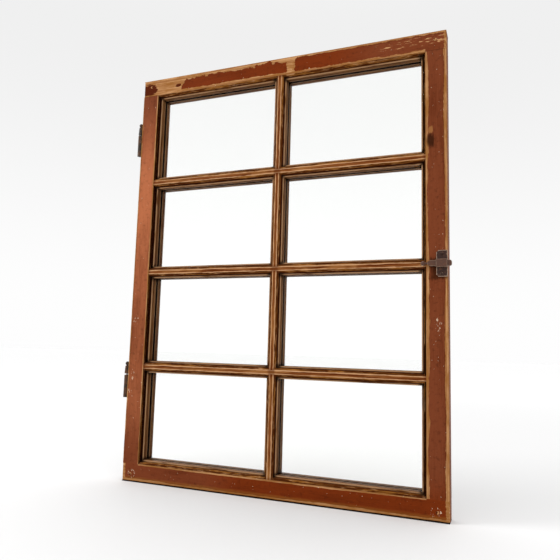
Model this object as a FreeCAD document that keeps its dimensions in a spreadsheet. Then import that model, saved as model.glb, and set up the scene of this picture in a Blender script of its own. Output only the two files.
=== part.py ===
import FreeCAD, Part
import math
import os
from FreeCAD import Placement, Rotation, Vector

import Sketcher

# A single casement sash of the old joiner's kind, with eight mirror panes. It hangs on two
# lift-off hinges at its left edge and is held shut by a small slide bolt at its right edge.
# Millimetres. +Z is up, the moulded front face looks along -Y, and the origin is the centre
# of the sash's bottom edge.

doc = FreeCAD.newDocument("casement_sash")

# ---------------------------------------------------------------- driving sizes
SIZES = [
    ("sash_height", 1100, "outside height of the sash"),
    ("sash_width", 831, "outside width of the sash"),
    ("sash_depth", 40, "thickness of the sash"),
    ("stile_face", 47.5, "flat face of a stile, outer edge to moulding"),
    ("rail_face", 46, "flat face of a rail, outer edge to moulding"),
    ("edge_round", 1.5, "rounding of the outer arrises"),
    ("quirk", 1, "step between a face and its ovolo"),
    ("ovolo", 7.6, "radius of the ovolo moulding"),
    ("fillet_flat", 3, "flat between the ovolo and the reveal"),
    ("rebate_depth", 14, "glass to the back of the sash"),
    ("rebate_width", 8.4, "width of the glazing rebate"),
    ("nose_width", 9.6, "flat nose of a glazing bar"),
    ("nose_drop", 0.3, "how far a bar's nose lies behind the face"),
    ("bar_back_drop", 1.5, "how far a bar's back lies inside the sash's back"),
    ("bar_tenon_long", 28, "length of a bar's tenon"),
    ("bar_tenon_thick", 12, "thickness of a bar's tenon"),
    ("bar_tenon_wide", 14, "width of a bar's tenon"),
    ("bar_tenon_back", 2, "back of a bar's tenon to the glass line"),
    ("mortise_spare", 1, "room at the bottom of a mortise"),
    ("lap_depth", 19, "front face to the halving where bars cross"),
    ("lower_bar_level", 298, "centre height of the lower bar"),
    ("middle_bar_level", 551, "centre height of the middle bar"),
    ("upper_bar_level", 800, "centre height of the upper bar"),
    ("upright_bar_shift", 1.5, "upright bar's centre, right of the sash's centre"),
    ("bridle_thick", 13, "thickness of the corner tenons"),
    ("peg_across", 8, "diameter of a peg hole"),
    ("peg_in", 25, "peg centre from the sash's side"),
    ("peg_up", 20, "peg centre from the sash's top or bottom"),
    ("peg_proud", 0.5, "how far a peg stands out of the front"),
    ("glass_thick", 4, "thickness of the mirror glass"),
    ("glass_play", 1.2, "gap between glass and rebate"),
    ("bead_wide", 8, "width of a glazing bead"),
    ("bead_thick", 8, "thickness of a glazing bead"),
    ("pin_across", 1.4, "diameter of a bead pin"),
    ("pin_long", 13, "length of a bead pin"),
    ("pin_inset", 30, "bead pin from the bead's end"),
    ("fit_gap", 0.05, "radial clearance of fixed pins, pegs and screws"),
    ("lower_hinge_level", 215, "bottom of the lower hinge"),
    ("upper_hinge_drop", 217, "top of the sash to the bottom of the upper hinge"),
    ("knuckle_radius", 6.5, "outside radius of the knuckles"),
    ("knuckle_top_radius", 5.2, "radius of the short knuckle at its top"),
    ("knuckle_gap", 0.4, "gap between knuckle and sash edge"),
    ("knuckle_back", 5.3, "front face to the hinge axis"),
    ("long_knuckle", 59, "height of the jamb leaf's knuckle"),
    ("pin_show", 3.7, "gap between the knuckles"),
    ("short_knuckle", 20.5, "height of the sash leaf's knuckle"),
    ("hinge_pin_across", 5, "diameter of the hinge pin"),
    ("hinge_pin_seat", 50, "length of hinge pin held in the jamb leaf"),
    ("hinge_pin_reach", 17, "length of hinge pin inside the sash leaf"),
    ("running_gap", 0.06, "radial clearance of the turning hinge pin"),
    ("bearing_gap", 0.1, "clearance over the hinge pin's end"),
    ("leaf_thick", 2.5, "thickness of the hinge leaves"),
    ("leaf_inset", 4.7, "back edge of the leaves to the back of the sash"),
    ("leaf_hole", 4.5, "diameter of the screw holes in the leaves"),
    ("leaf_hole_inset", 10, "back edge of the leaves to the screw holes"),
    ("leaf_hole_pitch", 29.5, "spacing of the screw holes in a leaf"),
    ("ball_radius", 5.2, "radius of the ball finial"),
    ("ball_neck_radius", 3, "radius of the finial's neck"),
    ("ball_neck", 1.2, "height of the finial's neck"),
    ("spigot_radius", 1.6, "radius of the finial's spigot"),
    ("spigot_long", 2.2, "length of the finial's spigot"),
    ("hinge_screw_long", 20, "length of a hinge screw"),
    ("hinge_screw_shank", 3.6, "shank diameter of a hinge screw"),
    ("hinge_screw_head", 7.6, "head diameter of a hinge screw"),
    ("bolt_level", 552, "centre height of the slide bolt"),
    ("plate_wide", 24.2, "width of the latch plate"),
    ("plate_high", 59, "height of the latch plate"),
    ("plate_thick", 2, "thickness of the latch plate"),
    ("plate_clip", 4.5, "clipped corners of the latch plate"),
    ("plate_edge", 0.5, "latch plate to the sash's edge"),
    ("plate_hole_pitch", 44.7, "spacing of the latch plate's screws"),
    ("bolt_high", 13, "height of the bolt's section"),
    ("bolt_thick", 7, "thickness of the bolt's section"),
    ("bolt_out", 8.8, "bolt's nose past the sash's edge"),
    ("bolt_long", 46.3, "straight length of the bolt"),
    ("bolt_nose_round", 4, "rounding of the bolt's nose"),
    ("bolt_tail", 6, "length of the bolt's tapered tail"),
    ("bolt_tail_high", 5.6, "height of the bolt's tail end"),
    ("bolt_travel", 11, "travel of the bolt"),
    ("slide_gap", 0.3, "clearance round the bolt"),
    ("strap_wall", 2.4, "wall of the bolt's strap"),
    ("strap_round", 2.2, "rounding of the strap's front edges"),
    ("stop_across", 4, "diameter of the bolt's stop pin"),
    ("stop_gap", 0.2, "clearance of the stop pin in its slot"),
    ("stop_in", 4, "length of stop pin held in the bolt"),
    ("stop_inset", 7, "stop pin's centre to the latch plate's right edge"),
    ("knob_radius", 5.2, "radius of the bolt's knob"),
    ("knob_neck_radius", 2.2, "radius of the knob's neck"),
    ("knob_neck", 4.5, "length of the knob's neck"),
    ("knob_spigot_radius", 1.5, "radius of the knob's spigot"),
    ("knob_spigot", 5, "length of the knob's spigot"),
    ("latch_screw_long", 20, "length of a latch screw"),
    ("latch_screw_shank", 3.8, "shank diameter of a latch screw"),
    ("latch_screw_head", 8.6, "head diameter of a latch screw"),
    ("latch_screw_dome", 2.4, "height of a latch screw's head"),
    ("latch_screw_dome_radius", 5.3, "radius of the dome on a latch screw's head"),
    ("slot_cut", 1.1, "width and depth of a screwdriver slot"),
]

sheet = doc.addObject("Spreadsheet::Sheet", "dims")
for row, (alias, number, meaning) in enumerate(SIZES, start=1):
    sheet.set(f"A{row}", meaning)
    sheet.set(f"B{row}", str(number))
    sheet.setAlias(f"B{row}", alias)
doc.recompute()


class Size:
    """A driving size, or a sum of them, with its number and the expression that gives it."""

    def __init__(self, number, text):
        self.number = number
        self.text = text

    def __add__(self, other):
        other = as_size(other)
        return Size(self.number + other.number, f"({self.text} + {other.text})")

    def __sub__(self, other):
        other = as_size(other)
        return Size(self.number - other.number, f"({self.text} - {other.text})")

    def __mul__(self, factor):
        return Size(self.number * factor, f"({self.text} * {factor})")

    def __truediv__(self, factor):
        return Size(self.number / factor, f"({self.text} / {factor})")

    def __neg__(self):
        return Size(-self.number, f"(0 - {self.text})")


def as_size(value):
    if isinstance(value, Size):
        return value
    return Size(float(value), f"({value})")


def size(alias):
    return Size(float(sheet.get(alias)), f"dims.{alias}")


# How far a cutting tool runs past the surface that it opens.
OVERRUN = 1


# ---------------------------------------------------------------- modelling helpers
def bind(item, **properties):
    """Set properties such as Length or Placement_Base_x from sizes."""
    for name, value in properties.items():
        item.setExpression(name.replace("_", "."), as_size(value).text)


def place(item, x, y, z):
    bind(item, Placement_Base_x=x, Placement_Base_y=y, Placement_Base_z=z)


def box(name, low, high):
    """A box from its low corner to its high corner."""
    item = doc.addObject("Part::Box", name)
    spans = [as_size(high[i]) - low[i] for i in range(3)]
    bind(item, Length=spans[0], Width=spans[1], Height=spans[2])
    place(item, *low)
    return item


TURN_TO = {
    "x": Rotation(Vector(0, 1, 0), 90),
    "-x": Rotation(Vector(0, 1, 0), -90),
    "y": Rotation(Vector(1, 0, 0), -90),
    "-y": Rotation(Vector(1, 0, 0), 90),
    "z": Rotation(),
    "-z": Rotation(Vector(1, 0, 0), 180),
}


def turned(item, foot, way):
    """Stand an item made along +Z on foot, with its axis turned to point the given way."""
    item.Placement = Placement(Vector(), TURN_TO[way])
    place(item, *foot)
    return item


def rod(name, foot, way, radius, length):
    item = doc.addObject("Part::Cylinder", name)
    bind(item, Radius=radius, Height=length)
    return turned(item, foot, way)


def cone(name, foot, way, radius_foot, radius_end, length):
    item = doc.addObject("Part::Cone", name)
    bind(item, Radius1=radius_foot, Radius2=radius_end, Height=length)
    return turned(item, foot, way)


def ball(name, centre, way, radius):
    """A ball whose poles lie along the given way, so that a stem there meets it cleanly."""
    item = doc.addObject("Part::Sphere", name)
    bind(item, Radius=radius)
    return turned(item, centre, way)


def group(name, items):
    item = doc.addObject("Part::Compound", name)
    item.Links = items
    return item


def fuse(name, items):
    item = doc.addObject("Part::MultiFuse", name)
    item.Shapes = items
    return item


def common(name, first, second):
    item = doc.addObject("Part::Common", name)
    item.Base = first
    item.Tool = second
    return item


def cut(name, base, *tools):
    """Cut the tools from the base one after another, and give the last cut the name."""
    for count, tool in enumerate(tools, start=1):
        last = count == len(tools)
        item = doc.addObject("Part::Cut", name if last else f"{name}_cut_{count}")
        item.Base = base
        item.Tool = tool
        base = item
    return base


def plane(body, role):
    for feature in body.Origin.OriginFeatures:
        if feature.Role == role:
            return feature
    raise ValueError(role)


def outline(body, name, role, corners, offset=0):
    """A closed sketch on one of the body's own planes. A corner is (x, y), or (x, y, radius,
    centre) where an arc of that radius about that centre leads to it from the last corner."""
    sketch = body.newObject("Sketcher::SketchObject", name)
    sketch.AttachmentSupport = [(plane(body, role), "")]
    sketch.MapMode = "FlatFace"
    sketch.setExpression("AttachmentOffset.Base.z", as_size(offset).text)
    points = [Vector(as_size(c[0]).number, as_size(c[1]).number, 0) for c in corners]
    count = len(corners)
    ends = []
    for i in range(count):
        start, stop = points[i - 1], points[i]
        if len(corners[i]) == 2:
            index = sketch.addGeometry(Part.LineSegment(start, stop), False)
            ends.append((index, 1, 2, None))
            continue
        radius, centre = corners[i][2:]
        middle = Vector(as_size(centre[0]).number, as_size(centre[1]).number, 0)
        anticlockwise = (start - middle).cross(stop - middle).z > 0
        low, high = (start, stop) if anticlockwise else (stop, start)
        angles = [math.atan2(end.y - middle.y, end.x - middle.x) for end in (low, high)]
        if angles[1] < angles[0]:
            angles[1] += 2 * math.pi
        circle = Part.Circle(middle, Vector(0, 0, 1), as_size(radius).number)
        index = sketch.addGeometry(Part.ArcOfCircle(circle, *angles), False)
        # A sketch's arc always runs anticlockwise, whichever way the outline goes.
        ends.append((index, 1, 2, radius) if anticlockwise else (index, 2, 1, radius))
    for i in range(count):
        index, first, last, radius = ends[i]
        following = ends[(i + 1) % count]
        sketch.addConstraint(
            Sketcher.Constraint("Coincident", index, last, following[0], following[1]))
        for kind, place_value, value in (("DistanceX", points[i].x, corners[i][0]),
                                         ("DistanceY", points[i].y, corners[i][1])):
            number = sketch.addConstraint(
                Sketcher.Constraint(kind, -1, 1, index, last, place_value))
            sketch.setExpression(f"Constraints[{number}]", as_size(value).text)
        if radius is not None:
            number = sketch.addConstraint(
                Sketcher.Constraint("Radius", index, as_size(radius).number))
            sketch.setExpression(f"Constraints[{number}]", as_size(radius).text)
    return sketch


def turned_over(corners):
    """The same corners with their two coordinates exchanged, for a sketch on the YZ plane."""
    result = []
    for corner in corners:
        if len(corner) == 2:
            result.append((corner[1], corner[0]))
        else:
            centre = corner[3]
            result.append((corner[1], corner[0], corner[2], (centre[1], centre[0])))
    return result


def pad(body, name, sketch, length, midplane=False):
    feature = body.newObject("PartDesign::Pad", name)
    feature.Profile = sketch
    feature.Midplane = midplane
    feature.setExpression("Length", as_size(length).text)
    sketch.Visibility = False
    return feature


def new_body(name):
    return doc.addObject("PartDesign::Body", name)


# ---------------------------------------------------------------- shared places
height = size("sash_height")
half_wide = size("sash_width") / 2
front = -size("sash_depth") / 2
back = size("sash_depth") / 2
stile_face = size("stile_face")
rail_face = size("rail_face")
moulding = size("ovolo") + size("fillet_flat")
ovolo_start = front + size("quirk")
ovolo_foot = ovolo_start + size("ovolo")
glass_front = back - size("rebate_depth")
glass_back = glass_front + size("glass_thick")
half_nose = size("nose_width") / 2
half_bar = half_nose + moulding
half_tongue = half_bar - size("rebate_width")
bar_back = back - size("bar_back_drop")
upright = size("upright_bar_shift")
levels = {
    "lower_bar": size("lower_bar_level"),
    "middle_bar": size("middle_bar_level"),
    "upper_bar": size("upper_bar_level"),
}
bridle_front = glass_front - size("bridle_thick")
tenon_back = glass_front - size("bar_tenon_back")
tenon_front = tenon_back - size("bar_tenon_thick")


# ---------------------------------------------------------------- stiles and rails
def edge_section(edge, way, face):
    """The section of a stile or rail as (across, y) corners. The outer edge is at `edge`, and
    `way` is 1 or -1, the direction from there to the panes."""
    def across(distance):
        return as_size(edge) + as_size(distance) * way

    rounding = size("edge_round")
    rebate = as_size(face) + moulding - size("rebate_width")
    return [
        (across(rounding), front, rounding, (across(rounding), front + rounding)),
        (across(face), front),
        (across(face), ovolo_start),
        (across(face + size("ovolo")), ovolo_foot, size("ovolo"), (across(face), ovolo_foot)),
        (across(face + moulding), ovolo_foot),
        (across(face + moulding), glass_front),
        (across(rebate), glass_front),
        (across(rebate), back),
        (across(rounding), back),
        (across(0), back - rounding, rounding, (across(rounding), back - rounding)),
        (across(0), front + rounding),
    ]


def stile_blank(name, edge, way):
    """A stile between the rails, with a corner tenon the full width of its face at each end."""
    body = new_body(name)
    section = outline(body, name + "_section", "XY_Plane", edge_section(edge, way, stile_face),
                      rail_face)
    pad(body, name + "_length", section, height - rail_face * 2)
    inner = as_size(edge) + stile_face * way
    tenon = outline(body, name + "_tenon", "XY_Plane", [
        (edge, bridle_front), (inner, bridle_front), (inner, glass_front), (edge, glass_front)])
    pad(body, name + "_tenons", tenon, height)
    return body


def rail_blank(name, edge, way):
    """A rail the full width of the sash. Its moulding stops at the stiles, and its ends are
    slotted for their tenons."""
    body = new_body(name)
    corners = edge_section(edge, way, rail_face)
    inner = as_size(edge) + rail_face * way
    face_corners = corners[:2] + [(inner, back)] + corners[8:]
    sticking = corners[2:8] + [(inner, back)]
    for part, shape, length in (("face", face_corners, half_wide * 2),
                                ("moulding", sticking, (half_wide - stile_face) * 2)):
        sketch = outline(body, f"{name}_{part}", "YZ_Plane", turned_over(shape))
        pad(body, f"{name}_{part}_length", sketch, length, midplane=True)
    return body


rail_ends = []
for side, way in (("left", 1), ("right", -1)):
    outer = half_wide * -way
    for end, low, high in (("bottom", as_size(0), rail_face), ("top", height - rail_face, height)):
        xs = [outer, outer + stile_face * way]
        if way < 0:
            xs.reverse()
        rail_ends.append((end, box(f"{end}_{side}_slot", (xs[0], bridle_front, low),
                                   (xs[1], glass_front, high))))

pegs = []
peg_holes = []
for side, way in (("left", 1), ("right", -1)):
    for end, level in (("bottom", size("peg_up")), ("top", height - size("peg_up"))):
        peg_x = (half_wide - size("peg_in")) * -way
        peg_holes.append(rod(f"{end}_{side}_peg_hole", (peg_x, front, level), "y",
                             size("peg_across") / 2, size("sash_depth")))
        peg = doc.addObject("Part::Prism", f"{end}_{side}_peg")
        peg.Polygon = 8
        bind(peg, Circumradius=size("peg_across") / 2 - size("fit_gap"),
             Height=size("sash_depth") + size("peg_proud"))
        pegs.append(turned(peg, (peg_x, front - size("peg_proud"), level), "y"))
corner_pegs = group("corner_pegs", pegs)
peg_bores = group("peg_bores", peg_holes)

# ---------------------------------------------------------------- glazing bars
def bar_section(centre):
    """Half of a bar's section is the moulding, tongue and nose on one side of its centre."""
    def side(way):
        def across(distance):
            return as_size(centre) + as_size(distance) * way

        return [
            (across(half_nose), front + size("nose_drop")),
            (across(half_nose), ovolo_start),
            (across(half_nose + size("ovolo")), ovolo_foot, size("ovolo"),
             (across(half_nose), ovolo_foot)),
            (across(half_bar), ovolo_foot),
            (across(half_bar), glass_front),
            (across(half_tongue), glass_front),
            (across(half_tongue), bar_back),
        ]

    right = side(1)
    left = []
    # The left side runs the other way round, so its arc leads to its other end.
    for corner in reversed(side(-1)):
        left.append(corner[:2])
    arc = side(-1)[2]
    left[5] = (left[5][0], left[5][1], arc[2], arc[3])
    return right + left


def bar_blank(name, role, centre, start, length, tenon_length):
    """A glazing bar with a tenon at each end. A level bar lies on the YZ plane and an upright
    one on the XY plane."""
    body = new_body(name)
    section = bar_section(centre)
    tenon_low = as_size(centre) - size("bar_tenon_wide") / 2
    tenon_high = as_size(centre) + size("bar_tenon_wide") / 2
    tenon = [(tenon_low, tenon_front), (tenon_high, tenon_front),
             (tenon_high, tenon_back), (tenon_low, tenon_back)]
    for part, shape, offset, span in (("section", section, start, length),
                                      ("tenon", tenon, start - tenon_length,
                                       length + tenon_length * 2)):
        if role == "YZ_Plane":
            shape = turned_over(shape)
        sketch = outline(body, f"{name}_{part}", role, shape, offset)
        pad(body, f"{name}_{part}_length", sketch, span)
    return body


# ---------------------------------------------------------------- panes and glazing beads
rebate_edge = moulding - size("rebate_width")
columns = {
    "left": (stile_face + rebate_edge - half_wide, upright - half_tongue),
    "right": (upright + half_tongue, half_wide - stile_face - rebate_edge),
}
rows = {
    "bottom": (rail_face + rebate_edge, levels["lower_bar"] - half_tongue),
    "lower": (levels["lower_bar"] + half_tongue, levels["middle_bar"] - half_tongue),
    "upper": (levels["middle_bar"] + half_tongue, levels["upper_bar"] - half_tongue),
    "top": (levels["upper_bar"] + half_tongue, height - rail_face - rebate_edge),
}
play = size("glass_play")
bead_wide = size("bead_wide")
bead_back = glass_back + size("bead_thick")
pin_level = glass_back + size("bead_thick") / 2

# Each line of beads is nailed to one side of one member: its name, and its member.
upright_lines = {
    ("left", 0): ("left_stile_beads", "left_stile"),
    ("left", 1): ("upright_bar_left_beads", "upright_bar"),
    ("right", 0): ("upright_bar_right_beads", "upright_bar"),
    ("right", 1): ("right_stile_beads", "right_stile"),
}
level_lines = {
    ("bottom", 0): ("bottom_rail_beads", "bottom_rail"),
    ("bottom", 1): ("lower_bar_under_beads", "lower_bar"),
    ("lower", 0): ("lower_bar_over_beads", "lower_bar"),
    ("lower", 1): ("middle_bar_under_beads", "middle_bar"),
    ("upper", 0): ("middle_bar_over_beads", "middle_bar"),
    ("upper", 1): ("upper_bar_under_beads", "upper_bar"),
    ("top", 0): ("upper_bar_over_beads", "upper_bar"),
    ("top", 1): ("top_rail_beads", "top_rail"),
}
bead_strips = {}
bead_bores = {}
member_bores = {}
bead_pins = []


def nail(name, line, member, foot, way):
    """A pin through a bead into its member, and the bore it sits in."""
    bead_pins.append(rod(name, foot, way, size("pin_across") / 2, size("pin_long")))
    bore = rod(name + "_bore", foot, way, size("pin_across") / 2 + size("fit_gap"),
               size("pin_long") + size("fit_gap"))
    bead_bores.setdefault(line, []).append(bore)
    member_bores.setdefault(member, []).append(bore)


panes = {}
for row_name, (low, high) in rows.items():
    for column_name, (left, right) in columns.items():
        name = f"{row_name}_{column_name}"
        panes[f"{name}_pane"] = box(f"{name}_pane", (left + play, glass_front, low + play),
                                    (right - play, glass_back, high - play))
        for end, edge in enumerate((low, high)):
            line, member = level_lines[row_name, end]
            inner = edge + bead_wide * (1 - 2 * end)
            bead_low, bead_high = (inner, edge) if end else (edge, inner)
            strip = box(f"{name}_level_bead_{end}", (left, glass_back, bead_low),
                        (right, bead_back, bead_high))
            bead_strips.setdefault(line, []).append(strip)
            for count, across in enumerate((left + size("pin_inset"), right - size("pin_inset"))):
                nail(f"{name}_level_pin_{end}_{count}", line, member, (across, pin_level, inner),
                     "z" if end else "-z")
        for end, edge in enumerate((left, right)):
            line, member = upright_lines[column_name, end]
            inner = edge + bead_wide * (1 - 2 * end)
            bead_low, bead_high = (inner, edge) if end else (edge, inner)
            strip = box(f"{name}_upright_bead_{end}", (bead_low, glass_back, low + bead_wide),
                        (bead_high, bead_back, high - bead_wide))
            bead_strips.setdefault(line, []).append(strip)
            for count, up in enumerate((low + size("pin_inset"), high - size("pin_inset"))):
                nail(f"{name}_upright_pin_{end}_{count}", line, member, (inner, pin_level, up),
                     "x" if end else "-x")

beads = {}
for line, strips in bead_strips.items():
    beads[line] = cut(line, group(line + "_strips", strips), group(line + "_bores", bead_bores[line]))
pin_bores = {member: group(member + "_pin_bores", found) for member, found in member_bores.items()}

# ---------------------------------------------------------------- hinges
axis_x = -half_wide - size("knuckle_gap") - size("knuckle_radius")
axis_y = front + size("knuckle_back")
leaf_high = size("long_knuckle") + size("pin_show") + size("short_knuckle")
leaf_back = back - size("leaf_inset")
leaf_thick = size("leaf_thick")
hole_y = leaf_back - size("leaf_hole_inset")
pin_radius = size("hinge_pin_across") / 2
sash_edge = -half_wide


def screw(name, foot, way, shank, length, head):
    """A slotted wood screw with a tapered point, standing on its head's seat at foot."""
    point = shank * 1.2
    direction = TURN_TO[way].multVec(Vector(0, 0, 1))
    tip = [foot[i] + (length - point) * direction[i] for i in range(3)]
    stem = rod(name + "_stem", foot, way, shank / 2, length - point)
    end = cone(name + "_point", tip, way, shank / 2, shank / 8, point)
    return fuse(name, [head, stem, end])


hinges = {}
hinge_screws = []
leaf_mortises = []
hinge_screw_bores = []
finials = []
for name, level in (("lower", size("lower_hinge_level")),
                    ("upper", height - size("upper_hinge_drop"))):
    knuckle_top = level + size("long_knuckle")
    cap_foot = knuckle_top + size("pin_show")
    cap_top = cap_foot + size("short_knuckle")
    leaf_middle = level + leaf_high / 2
    hole_levels = [leaf_middle - size("leaf_hole_pitch"), leaf_middle,
                   leaf_middle + size("leaf_hole_pitch")]

    # The jamb leaf: a plate through the knuckle's middle, cleared round the sash's knuckle.
    knuckle = rod(f"{name}_long_knuckle", (axis_x, axis_y, level), "z", size("knuckle_radius"),
                  size("long_knuckle"))
    plate = box(f"{name}_jamb_plate", (axis_x - leaf_thick / 2, axis_y, level),
                (axis_x + leaf_thick / 2, leaf_back, level + leaf_high))
    room = rod(f"{name}_knuckle_room", (axis_x, axis_y, knuckle_top), "z",
               size("knuckle_radius") + size("knuckle_gap"), leaf_high)
    seat = rod(f"{name}_pin_seat", (axis_x, axis_y, knuckle_top - size("hinge_pin_seat")), "z",
               pin_radius + size("fit_gap"), size("hinge_pin_seat") + OVERRUN)
    holes = group(f"{name}_jamb_holes", [
        rod(f"{name}_jamb_hole_{count}", (axis_x - leaf_thick, hole_y, up), "x",
            size("leaf_hole") / 2, leaf_thick * 2)
        for count, up in enumerate(hole_levels)])
    cleared = cut(f"{name}_jamb_plate_cleared", plate, room)
    hinges[f"{name}_jamb_leaf"] = cut(f"{name}_jamb_leaf",
                                      fuse(f"{name}_jamb_blank", [knuckle, cleared]), seat, holes)

    hinges[f"{name}_hinge_pin"] = rod(
        f"{name}_hinge_pin", (axis_x, axis_y, knuckle_top - size("hinge_pin_seat")), "z",
        pin_radius, size("hinge_pin_seat") + size("pin_show") + size("hinge_pin_reach"))

    # The sash leaf: let into the sash's edge, with a blind knuckle that rides on the pin.
    cap = cone(f"{name}_short_knuckle", (axis_x, axis_y, cap_foot), "z", size("knuckle_radius"),
               size("knuckle_top_radius"), size("short_knuckle"))
    neck = box(f"{name}_sash_neck", (axis_x, axis_y, cap_foot),
               (sash_edge + leaf_thick, axis_y + size("knuckle_top_radius"), cap_top))
    plate = box(f"{name}_sash_plate", (sash_edge, axis_y, level),
                (sash_edge + leaf_thick, leaf_back, level + leaf_high))
    bore = rod(f"{name}_pin_bore", (axis_x, axis_y, cap_foot - OVERRUN), "z",
               pin_radius + size("running_gap"), size("hinge_pin_reach") + size("bearing_gap") + OVERRUN)
    spigot_seat = rod(f"{name}_spigot_seat", (axis_x, axis_y, cap_top - size("spigot_long")), "z",
                      size("spigot_radius") + size("fit_gap"), size("spigot_long") + OVERRUN)
    countersinks = group(f"{name}_countersinks", [
        cone(f"{name}_countersink_{count}", (sash_edge, hole_y, up), "x",
             size("hinge_screw_head") / 2 + size("fit_gap"),
             size("hinge_screw_shank") / 2 + size("fit_gap"), leaf_thick)
        for count, up in enumerate(hole_levels)])
    hinges[f"{name}_sash_leaf"] = cut(f"{name}_sash_leaf",
                                      fuse(f"{name}_sash_blank", [cap, neck, plate]),
                                      bore, spigot_seat, countersinks)
    leaf_mortises.append(plate)

    for count, up in enumerate(hole_levels):
        foot = (sash_edge, hole_y, up)
        head = cone(f"{name}_hinge_screw_head_{count}", foot, "x", size("hinge_screw_head") / 2,
                    size("hinge_screw_shank") / 2, leaf_thick)
        whole = screw(f"{name}_hinge_screw_{count}", foot, "x", size("hinge_screw_shank"),
                      size("hinge_screw_long"), head)
        slot = box(f"{name}_hinge_screw_slot_{count}",
                   (sash_edge, hole_y - size("slot_cut") / 2, up - size("hinge_screw_head")),
                   (sash_edge + size("slot_cut"), hole_y + size("slot_cut") / 2,
                    up + size("hinge_screw_head")))
        hinge_screws.append(cut(f"{name}_hinge_screw_slotted_{count}", whole, slot))
        hinge_screw_bores.append(rod(f"{name}_hinge_screw_bore_{count}", foot, "x",
                                     size("hinge_screw_shank") / 2 + size("fit_gap"),
                                     size("hinge_screw_long") + size("fit_gap")))

    finials.append(fuse(f"{name}_finial", [
        rod(f"{name}_spigot", (axis_x, axis_y, cap_top - size("spigot_long")), "z",
            size("spigot_radius"), size("spigot_long") + size("ball_neck")),
        rod(f"{name}_finial_neck", (axis_x, axis_y, cap_top), "z", size("ball_neck_radius"),
            size("ball_neck") + size("ball_radius")),
        ball(f"{name}_ball", (axis_x, axis_y, cap_top + size("ball_neck") + size("ball_radius")),
             "z", size("ball_radius"))]))
hinge_finials = group("hinge_finials", finials)

# ---------------------------------------------------------------- slide bolt
bolt_level = size("bolt_level")
plate_right = half_wide - size("plate_edge")
plate_left = plate_right - size("plate_wide")
plate_front = front - size("plate_thick")
plate_low = bolt_level - size("plate_high") / 2
plate_high = bolt_level + size("plate_high") / 2
clip = size("plate_clip")
bolt_back = plate_front - size("slide_gap")
bolt_middle = bolt_back - size("bolt_thick") / 2
bolt_tip = half_wide + size("bolt_out")
bolt_end = bolt_tip - size("bolt_long")
tail_end = bolt_end - size("bolt_tail")
stop_x = plate_right - size("stop_inset")
stop_radius = size("stop_across") / 2

plate_body = new_body("latch_plate_blank")
plate_sketch = outline(plate_body, "latch_plate_outline", "XZ_Plane", [
    (plate_left + clip, plate_low), (plate_right, plate_low), (plate_right, plate_high),
    (plate_left + clip, plate_high), (plate_left, plate_high - clip), (plate_left, plate_low + clip),
], -front)
pad(plate_body, "latch_plate_thickness", plate_sketch, size("plate_thick"))
stop_slot = box("stop_slot", (stop_x - size("bolt_travel") - stop_radius - size("stop_gap"),
                              plate_front - OVERRUN, bolt_level - stop_radius - size("stop_gap")),
                (stop_x + stop_radius + size("stop_gap"), front + OVERRUN,
                 bolt_level + stop_radius + size("stop_gap")))

screw_x = (plate_left + plate_right) / 2
latch_screws = []
latch_screw_bores = []
for count, up in enumerate((bolt_level - size("plate_hole_pitch") / 2,
                            bolt_level + size("plate_hole_pitch") / 2)):
    foot = (screw_x, plate_front, up)
    head_radius = size("latch_screw_head") / 2
    dome = size("latch_screw_dome")
    dome_radius = size("latch_screw_dome_radius")
    disc = rod(f"latch_screw_disc_{count}", foot, "-y", head_radius, dome)
    bulge = ball(f"latch_screw_ball_{count}", (screw_x, plate_front - dome + dome_radius, up), "-y",
                 dome_radius)
    head = common(f"latch_screw_head_{count}", disc, bulge)
    whole = screw(f"latch_screw_{count}", foot, "y", size("latch_screw_shank"),
                  size("latch_screw_long"), head)
    slot = box(f"latch_screw_slot_{count}",
               (screw_x - head_radius * 2, plate_front - dome, up - size("slot_cut") / 2),
               (screw_x + head_radius * 2, plate_front - dome + size("slot_cut"),
                up + size("slot_cut") / 2))
    latch_screws.append(cut(f"latch_screw_slotted_{count}", whole, slot))
    latch_screw_bores.append(rod(f"latch_screw_bore_{count}", (screw_x, plate_front - OVERRUN, up), "y",
                                 size("latch_screw_shank") / 2 + size("fit_gap"),
                                 size("latch_screw_long") + OVERRUN + size("fit_gap")))
screw_bores = group("latch_screw_bores", latch_screw_bores)
latch_plate = cut("latch_plate", plate_body, stop_slot, screw_bores)

# The strap is folded over the bolt, with its two feet on the plate.
channel_high = size("bolt_high") / 2 + size("slide_gap")
strap_high = channel_high + size("strap_wall")
channel_front = bolt_back - size("bolt_thick") - size("slide_gap")
strap_front = channel_front - size("strap_wall")
strap_round = size("strap_round")
strap = new_body("bolt_strap")
strap_sketch = outline(strap, "bolt_strap_outline", "YZ_Plane", [
    (plate_front, bolt_level - strap_high), (plate_front, bolt_level - channel_high),
    (channel_front, bolt_level - channel_high), (channel_front, bolt_level + channel_high),
    (plate_front, bolt_level + channel_high), (plate_front, bolt_level + strap_high),
    (strap_front + strap_round, bolt_level + strap_high),
    (strap_front, bolt_level + strap_high - strap_round, strap_round,
     (strap_front + strap_round, bolt_level + strap_high - strap_round)),
    (strap_front, bolt_level - strap_high + strap_round),
    (strap_front + strap_round, bolt_level - strap_high, strap_round,
     (strap_front + strap_round, bolt_level - strap_high + strap_round)),
], plate_left)
pad(strap, "bolt_strap_length", strap_sketch, size("plate_wide"))

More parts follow.
